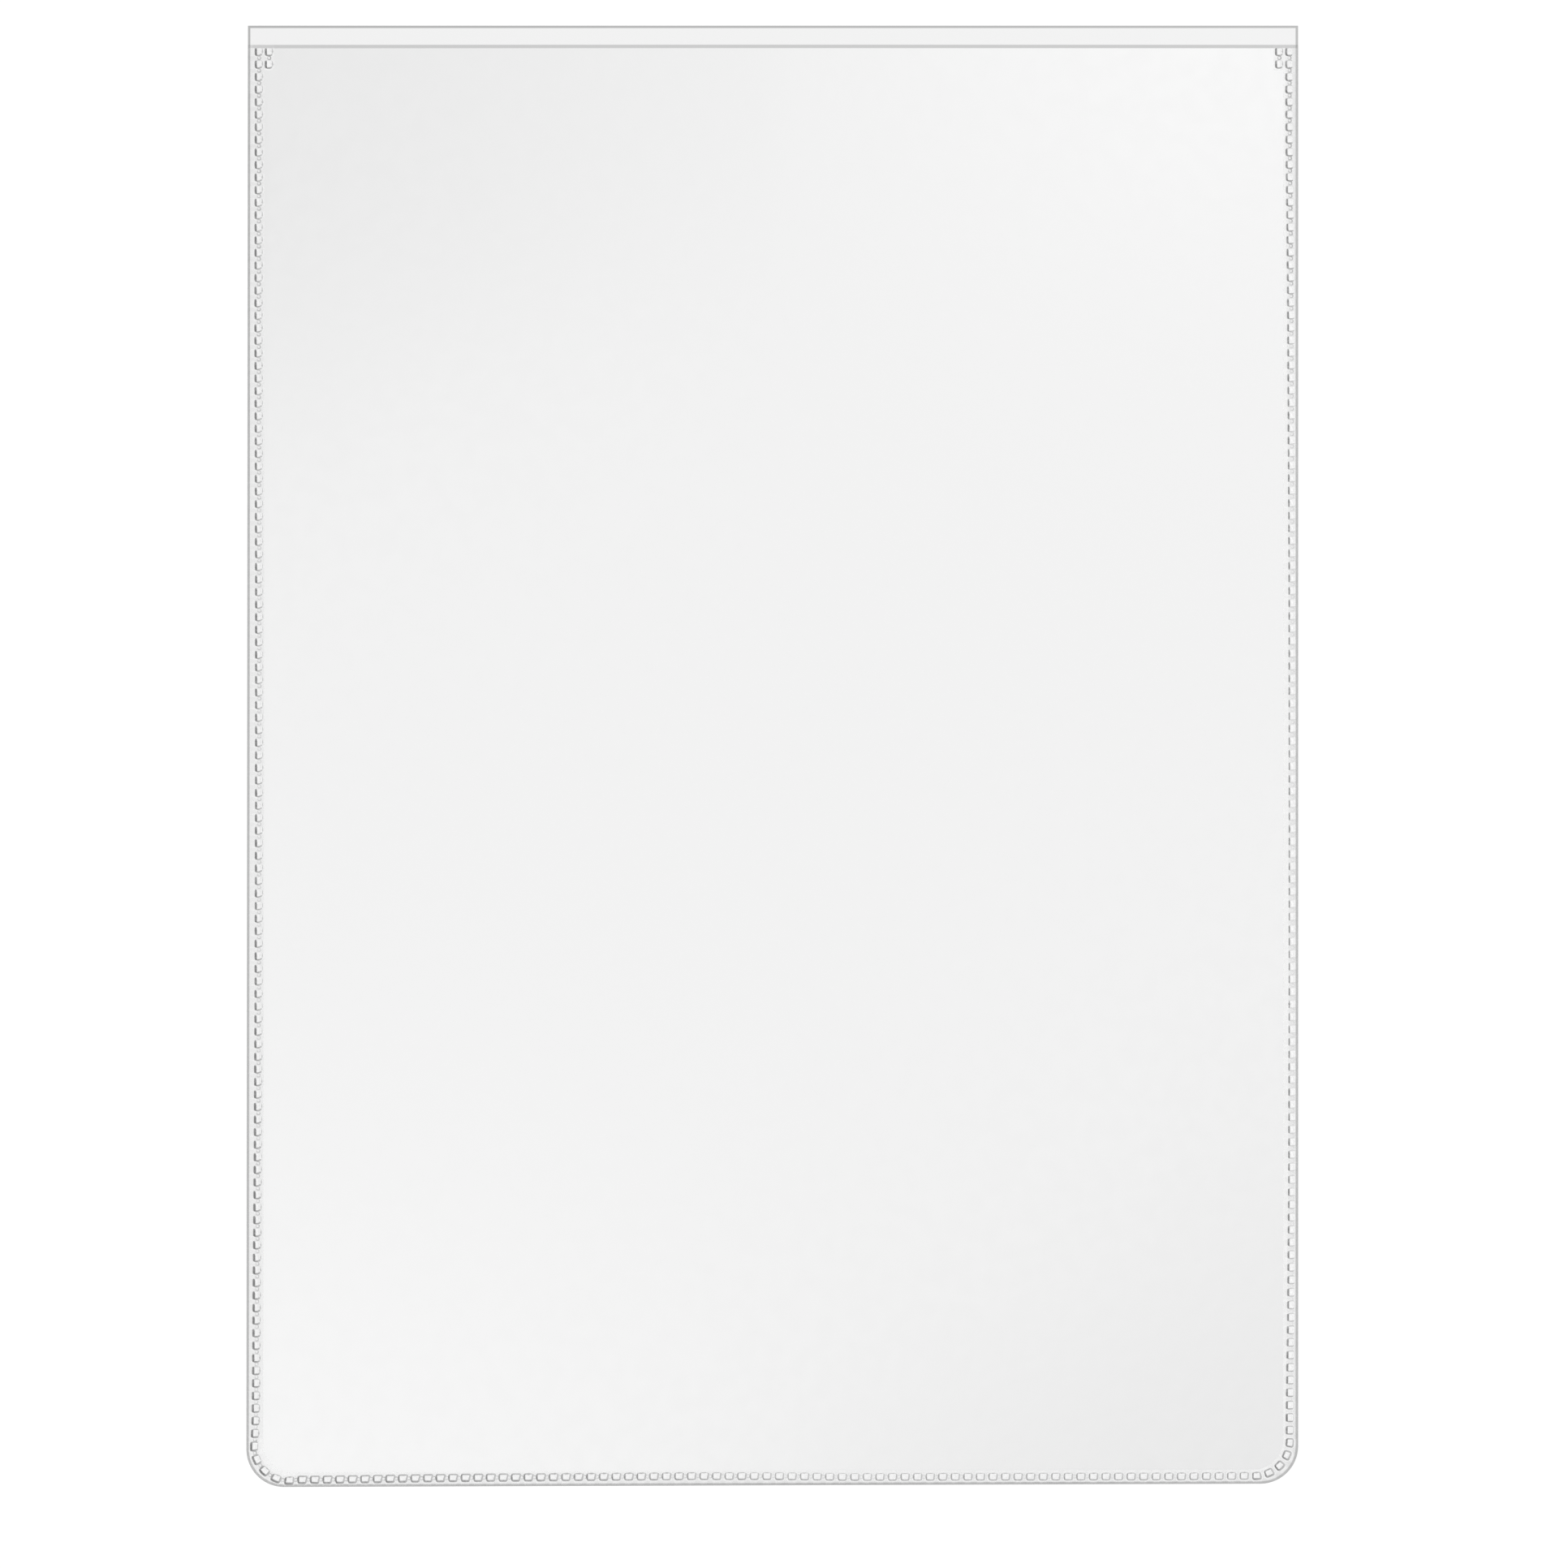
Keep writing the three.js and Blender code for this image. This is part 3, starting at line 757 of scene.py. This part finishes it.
    # a triangle that is held at all its corners gets a free point in its middle, or the whole of it would count as held
    parted = []
    for t in tris:
        if min(join[k] for k in t) < 1:
            parted.append(t)
            continue
        points = np.vstack([points, points[t].mean(0)])
        edge, join = np.append(edge, edge[t].mean()), np.append(join, 0.0)
        parted += [[t[k], t[(k + 1) % 3], len(points) - 1] for k in range(3)]
    obj = make_object("front_film", points, parted, {"edge": edge, "join": join})
    if sum(p.normal.z for p in obj.data.polygons) < 0:
        obj.data.flip_normals()
    uses = {}
    for p in obj.data.polygons:
        for k in p.edge_keys:
            uses[k] = uses.get(k, 0) + 1
    border = obj.data.attributes.new("sharp_edge", "BOOLEAN", "EDGE")
    border.data.foreach_set("value", [uses.get(e.key, 0) < 2 for e in obj.data.edges])
    thick = obj.modifiers.new("thickness", "SOLIDIFY")
    thick.thickness = FILM * MM
    thick.offset = 0.0
    thick.use_even_offset = True
    return obj


# ---- materials ---------------------------------------------------------------------------------------


class Graph:
    """A short way to write a node graph."""

    def __init__(self, name):
        self.material = bpy.data.materials.new(name)
        self.material.use_nodes = True
        self.tree = self.material.node_tree
        self.tree.nodes.clear()

    def node(self, kind, **settings):
        n = self.tree.nodes.new(kind)
        for key, value in settings.items():
            setattr(n, key, value)
        return n

    def put(self, socket, value):
        if isinstance(value, bpy.types.NodeSocket):
            self.tree.links.new(value, socket)
        elif value is not None:
            socket.default_value = value

    def math(self, op, a, b=None, c=None, clamp=False):
        n = self.node("ShaderNodeMath", operation=op, use_clamp=clamp)
        for socket, value in zip(n.inputs, (a, b, c)):
            self.put(socket, value)
        return n.outputs[0]

    def attribute(self, name):
        return self.node("ShaderNodeAttribute", attribute_name=name).outputs["Fac"]

    def object_position(self):
        return self.node("ShaderNodeTexCoord").outputs["Object"]

    def noise(self, scale, detail=3.0, rough=0.5, vector=None, distortion=0.0):
        n = self.node("ShaderNodeTexNoise")
        n.inputs["Scale"].default_value = scale
        n.inputs["Detail"].default_value = detail
        n.inputs["Roughness"].default_value = rough
        n.inputs["Distortion"].default_value = distortion
        self.put(n.inputs["Vector"], vector if vector is not None else self.object_position())
        return n.outputs["Fac"]

    def ramp(self, value, low, high, to_low=0.0, to_high=1.0, steps="SMOOTHSTEP"):
        n = self.node("ShaderNodeMapRange", interpolation_type=steps)
        for key, v in (("Value", value), ("From Min", low), ("From Max", high), ("To Min", to_low), ("To Max", to_high)):
            self.put(n.inputs[key], v)
        return n.outputs["Result"]

    def stretched(self, vector, scale, turn=0.0):
        n = self.node("ShaderNodeMapping")
        n.inputs["Scale"].default_value = scale
        n.inputs["Rotation"].default_value = (0, 0, turn)
        self.put(n.inputs["Vector"], vector)
        return n.outputs["Vector"]

    def mix(self, factor, a, b):
        n = self.node("ShaderNodeMixShader")
        self.put(n.inputs[0], factor)
        self.put(n.inputs[1], a)
        self.put(n.inputs[2], b)
        return n.outputs[0]

    def grey(self, value):
        n = self.node("ShaderNodeCombineColor")
        for socket in n.inputs[:3]:
            self.put(socket, value)
        return n.outputs[0]

    def out(self, shader):
        n = self.node("ShaderNodeOutputMaterial")
        self.put(n.inputs["Surface"], shader)
        return self.material


def clear_layers(g, tint, roughness, normal, haze, haze_colour, haze_rough, shadow_tint, gloss):
    """Clear film: what comes straight through, the mirror share of its faces, and a little haze."""
    fresnel = g.node("ShaderNodeFresnel")
    fresnel.inputs["IOR"].default_value = 1.5
    # a ray that enters the film meets both faces' reflection there, and none on its way out
    # a cut edge is rough, so it mirrors next to nothing
    polished = g.math("MULTIPLY_ADD", g.math("MINIMUM", g.attribute("edge"), 1.0), -0.95 * gloss, gloss)
    mirror = g.math("MULTIPLY", fresnel.outputs[0], polished, clamp=True)
    through = g.node("ShaderNodeBsdfTransparent")
    g.put(through.inputs["Color"], tint)
    shine = g.node("ShaderNodeBsdfAnisotropic")
    shine.inputs["Color"].default_value = (1, 1, 1, 1)
    g.put(shine.inputs["Roughness"], roughness)
    g.put(shine.inputs["Normal"], normal)
    clear = g.mix(mirror, through.outputs[0], shine.outputs[0])
    white = g.node("ShaderNodeBsdfPrincipled")
    g.put(white.inputs["Base Color"], haze_colour)
    white.inputs["Roughness"].default_value = haze_rough
    white.inputs["IOR"].default_value = 1.5
    g.put(white.inputs["Normal"], normal)
    entering = g.mix(haze, clear, white.outputs[0])
    leaving = g.node("ShaderNodeBsdfTransparent")
    g.put(leaving.inputs["Color"], tint)
    behind = g.node("ShaderNodeNewGeometry").outputs["Backfacing"]
    seen = g.mix(behind, entering, leaving.outputs[0])
    # where one piece runs on into the next there is no face to see
    inside = g.node("ShaderNodeBsdfTransparent")
    inside.inputs["Color"].default_value = (1, 1, 1, 1)
    joined = g.math("GREATER_THAN", g.attribute("join"), 0.999)
    seen = g.mix(joined, seen, inside.outputs[0])
    lit = g.node("ShaderNodeBsdfTransparent")
    g.put(lit.inputs["Color"], g.grey(g.math("MULTIPLY_ADD", joined, 1 - shadow_tint, shadow_tint)))
    to_lamp = g.node("ShaderNodeLightPath").outputs["Is Shadow Ray"]
    return g.mix(to_lamp, seen, lit.outputs[0])


def film_material(name, through, edge_through, turn, gloss):
    g = Graph(name)
    at = g.stretched(g.object_position(), (1, 1, 1), turn)
    # fine orange-peel and the faint hairlines of handling
    peel = g.noise(520.0, 1.0, 0.5, at)
    bump = g.node("ShaderNodeBump")
    bump.inputs["Strength"].default_value = 0.09
    bump.inputs["Distance"].default_value = 0.00005
    g.put(bump.inputs["Height"], peel)
    scratch = g.noise(100.0, 1.0, 0.5, g.stretched(at, (1.0, 0.02, 1.0), 0.5))
    hair = g.ramp(scratch, 0.74, 0.78, 0.0, 0.02)
    edge = g.attribute("edge")
    haze = g.math("MULTIPLY_ADD", edge, -0.02, hair, clamp=True)
    rough = g.ramp(peel, 0.3, 0.7, 0.08, 0.13)
    # the cut edge gathers and loses light, so it shows as a grey line
    tint = g.grey(g.ramp(edge, 0.0, 1.1, through, through + 1.1 * (edge_through - through), "LINEAR"))
    return g.out(
        clear_layers(g, tint, rough, bump.outputs[0], haze, (0.92, 0.925, 0.93, 1), 0.55, through, gloss)
    )


def fused_material(name):
    g = Graph(name)
    at = g.object_position()
    wall, pale, flange, edge = (g.attribute(k) for k in ("wall", "pale", "flange", "edge"))
    ripple = g.noise(900.0, 2.0, 0.6, at)
    bump = g.node("ShaderNodeBump")
    bump.inputs["Strength"].default_value = 0.5
    bump.inputs["Distance"].default_value = 0.00002
    g.put(bump.inputs["Height"], ripple)
    # no block came out quite even: the teeth are worn and the film sticks to them here and there, so the painted shade
    # of the walls and the painted light of the pale parts vary at random
    grain = g.noise(3300.0, 1.5, 0.6, at)
    wall = g.math("MULTIPLY", wall, g.ramp(grain, 0.32, 0.68, 0.74, 1.16))
    pale = g.math("MULTIPLY", pale, g.ramp(grain, 0.30, 0.70, 1.25, 0.70))
    # frosted walls painted dark grey as painted shade, a block floor that is clear but for white haze painted on as
    # painted light, a hazy flange and a lighter band of painted light along the pocket
    frost = g.math("MULTIPLY", wall, 0.90)
    frost = g.math("MULTIPLY_ADD", pale, 0.46, frost)
    frost = g.math("ADD", frost, g.ramp(ripple, 0.3, 0.7, 0.02, 0.07))
    frost = g.math("MULTIPLY", frost, g.math("MULTIPLY_ADD", edge, -0.9, 1.0), clamp=True)
    # a wall also bends aside what would come straight through it
    tint = g.math("MULTIPLY_ADD", wall, -0.40, 0.967)
    tint = g.math("MULTIPLY_ADD", flange, -0.11, tint)
    # painted shade: the grey line along the cut edge
    tint = g.math("MULTIPLY_ADD", edge, -0.23, tint, clamp=True)
    # painted shade: the frost on a wall is painted a darker grey the more wall there is
    colour = g.grey(g.ramp(wall, 0.02, 0.35, 0.93, 0.34, "LINEAR"))
    rough = g.ramp(ripple, 0.3, 0.7, 0.14, 0.28)
    return g.out(
        clear_layers(g, g.grey(tint), rough, bump.outputs[0], frost, colour, 0.45, 0.99, 1.9)
    )


# ---- build ------------------------------------------------------------------------------------------

back = back_film()
orient(back)
crisp(back, 30)
MAT_BACK = film_material("clear_back_film", 0.957, 0.71, 0.0, 0.45)
back.data.materials.append(MAT_BACK)
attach(back, "sleeve_body")
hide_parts("back_sheet")

MAT_FUSED = fused_material("fused_film")
MOUTH_LEFT = -FIRST_BLOCK_BELOW_MOUTH
MOUTH_RIGHT = RUN_ALL + FIRST_BLOCK_BELOW_MOUTH
welds = [
    (run_strip("left_weld", "left", 0, LAST_LEFT, lo=MOUTH_LEFT, mouth_at=MOUTH_LEFT), "left_weld_seam"),
    (run_strip("left_corner", "left_corner", LAST_LEFT + 1, FIRST_BOTTOM - 1), "left_corner_weld"),
    (run_strip("bottom_weld", "bottom", FIRST_BOTTOM, LAST_BOTTOM), "bottom_weld_seam"),
    (run_strip("right_corner", "right_corner", LAST_BOTTOM + 1, FIRST_RIGHT - 1), "right_corner_weld"),
    (run_strip("right_weld", "right", FIRST_RIGHT, BLOCK_SPACES, hi=MOUTH_RIGHT, mouth_at=MOUTH_RIGHT), "right_weld_seam"),
    (tack("left_tack", -1), "left_mouth_tack"),
    (tack("right_tack", 1), "right_mouth_tack"),
]
for obj, node in welds:
    obj.data.materials.append(MAT_FUSED)
    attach(obj, "sleeve_body")
    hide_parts(node)

front = front_film()
front.data.materials.append(film_material("clear_front_film", 0.998, 0.828, 1.1, 2.7))
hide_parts("front_sheet")
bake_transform(front)

# ---- floor, lights and world -----------------------------------------------------------------------


def emission_card(name, centre, to, width, height, build):
    """A soft studio card that faces a point. build makes its strength from its own coordinates, in metres from its
    middle.
    """
    verts = [(-width / 2, -height / 2, 0), (width / 2, -height / 2, 0), (width / 2, height / 2, 0), (-width / 2, height / 2, 0)]
    mesh = bpy.data.meshes.new(name)
    mesh.from_pydata(verts, [], [(0, 1, 2, 3)])
    obj = bpy.data.objects.new(name, mesh)
    obj.location = centre
    obj.rotation_mode = "QUATERNION"
    obj.rotation_quaternion = (Vector(to) - Vector(centre)).to_track_quat("Z", "Y")
    bpy.context.scene.collection.objects.link(obj)
    g = Graph(name)
    sep = g.node("ShaderNodeSeparateXYZ")
    g.put(sep.inputs[0], g.object_position())
    light = g.node("ShaderNodeEmission")
    light.inputs["Color"].default_value = (1, 1, 1, 1)
    g.put(light.inputs["Strength"], build(g, sep.outputs[0], sep.outputs[1]))
    mesh.materials.append(g.out(light.outputs[0]))
    # the cards are what the film mirrors, and the two lamps do the lighting
    mesh.materials[0].cycles.emission_sampling = "NONE"
    obj.visible_diffuse = False
    obj.visible_shadow = False
    return obj


def floor():
    mesh = bpy.data.meshes.new("floor")
    r = 12.0
    z = -0.00003
    mesh.from_pydata([(-r, -r, z), (r, -r, z), (r, r, z), (-r, r, z)], [], [(0, 1, 2, 3)])
    obj = bpy.data.objects.new("floor", mesh)
    bpy.context.scene.collection.objects.link(obj)
    g = Graph("floor_white")
    d = g.node("ShaderNodeBsdfDiffuse")
    d.inputs["Color"].default_value = (0.9, 0.9, 0.9, 1)
    mesh.materials.append(g.out(d.outputs[0]))


floor()

CARD_Z = 1.65


def overhead(g, x, y):
    """A card whose light falls off smoothly towards two corners and grows towards the two others."""
    place = g.node("ShaderNodeSeparateXYZ")
    g.put(place.inputs[0], g.node("ShaderNodeNewGeometry").outputs["Position"])
    east, north = place.outputs[0], g.math("MAXIMUM", place.outputs[1], 0.0)
    west, south = g.math("MULTIPLY", east, -1.0), g.math("MAXIMUM", g.math("MULTIPLY", place.outputs[1], -1.0), 0.0)
    level = 0.95
    for across, away, start, full, reach, bend, most in (
        (east, north, 0.015, 0.135, 0.20, 3.5, 0.56),
        (west, south, -0.030, 0.150, 0.20, 1.8, 0.42),
    ):
        rise = g.math("POWER", g.ramp(away, 0.0, reach, 0.0, 1.0, "LINEAR"), bend)
        level = g.math("MULTIPLY_ADD", g.ramp(across, start, full, 0.0, most, "LINEAR"), rise, level)
    for across, away, far, lean, start, full, most in (
        (west, north, 0.165, 2.1, 0.320, 0.537, 0.74),
        (east, south, 0.300, 1.4, 0.277, 0.432, 0.79),
    ):
        corner = g.math("MULTIPLY_ADD", g.math("MINIMUM", away, far), lean, across)
        level = g.math("SUBTRACT", level, g.ramp(corner, start, full, 0.0, most, "LINEAR"))
    r = g.math("POWER", g.math("ADD", g.math("MULTIPLY", x, x), g.math("MULTIPLY", y, y)), 0.5)
    return g.math("MULTIPLY", level, g.ramp(r, 0.30, 0.62, 1.0, 0.35))


emission_card("overhead_card", (0, 0, CARD_Z), (0, 0, 0), 1.4, 1.4, overhead)


def soft_box(strength):
    def build(g, x, y):
        a = g.ramp(g.math("ABSOLUTE", x), 0.02, 0.13, 1.0, 0.0)
        b = g.ramp(g.math("ABSOLUTE", y), 0.16, 0.34, 1.0, 0.0)
        return g.math("MULTIPLY_ADD", g.math("MULTIPLY", a, b), strength, SKY)

    return build


SKY = 0.50  # how bright the room is where the film mirrors it
emission_card("card_a", (-1.15, 1.05, 0.80), (0, 0, 0), 0.30, 0.72, soft_box(0.85))
emission_card("card_b", (1.25, -1.15, 0.48), (0, 0, 0), 0.30, 0.72, soft_box(0.55))


def lamp(name, azimuth, elevation, spread, energy):
    """A far, wide studio light."""
    data = bpy.data.lights.new(name, "SUN")
    data.angle = math.radians(spread)
    data.energy = energy
    data.cycles.use_multiple_importance_sampling = False
    obj = bpy.data.objects.new(name, data)
    obj.visible_glossy = False
    a, e = math.radians(azimuth), math.radians(elevation)
    toward = Vector((math.cos(e) * math.cos(a), math.cos(e) * math.sin(a), math.sin(e)))
    obj.rotation_mode = "QUATERNION"
    obj.rotation_quaternion = toward.to_track_quat("Z", "Y")
    bpy.context.scene.collection.objects.link(obj)


# four lamps that light the floor alike: three make one wide key from the lower left, and one is the fill from above
SHARE = 0.265
for i, (azimuth, elevation, spread) in enumerate([(190, 36, 10), (202, 40, 10), (214, 36, 10), (20, 86, 40)]):
    lamp("lamp_%d" % i, azimuth, elevation, spread, SHARE * math.pi / 0.9 / math.sin(math.radians(elevation)))

world = bpy.data.worlds.new("studio")
bpy.context.scene.world = world
world.use_nodes = True
wt = world.node_tree
wt.nodes.clear()
coord = wt.nodes.new("ShaderNodeTexCoord")
split = wt.nodes.new("ShaderNodeSeparateXYZ")
wt.links.new(coord.outputs["Generated"], split.inputs[0])
level = wt.nodes.new("ShaderNodeMapRange")
level.interpolation_type = "SMOOTHSTEP"
level.inputs["From Min"].default_value = 0.035
level.inputs["From Max"].default_value = 0.13
level.inputs["To Min"].default_value = 1.05
level.inputs["To Max"].default_value = SKY
wt.links.new(split.outputs[2], level.inputs["Value"])
sky = wt.nodes.new("ShaderNodeBackground")
sky.inputs["Color"].default_value = (1, 1, 1, 1)
wt.links.new(level.outputs[0], sky.inputs["Strength"])
world.cycles_visibility.diffuse = False
world.cycles.sampling_method = "NONE"
end = wt.nodes.new("ShaderNodeOutputWorld")
wt.links.new(sky.outputs[0], end.inputs["Surface"])

# ---- render settings that belong to the look --------------------------------------------------------

scene = bpy.context.scene
scene.view_settings.view_transform = "Standard"
scene.view_settings.look = "None"
scene.cycles.transparent_max_bounces = 32
scene.cycles.min_transparent_bounces = 24
scene.cycles.min_light_bounces = 4
scene.cycles.max_bounces = 4
scene.cycles.diffuse_bounces = 0
scene.cycles.glossy_bounces = 2
scene.cycles.use_light_tree = False
scene.cycles.use_denoising = True
scene.cycles.denoiser = "OPENIMAGEDENOISE"
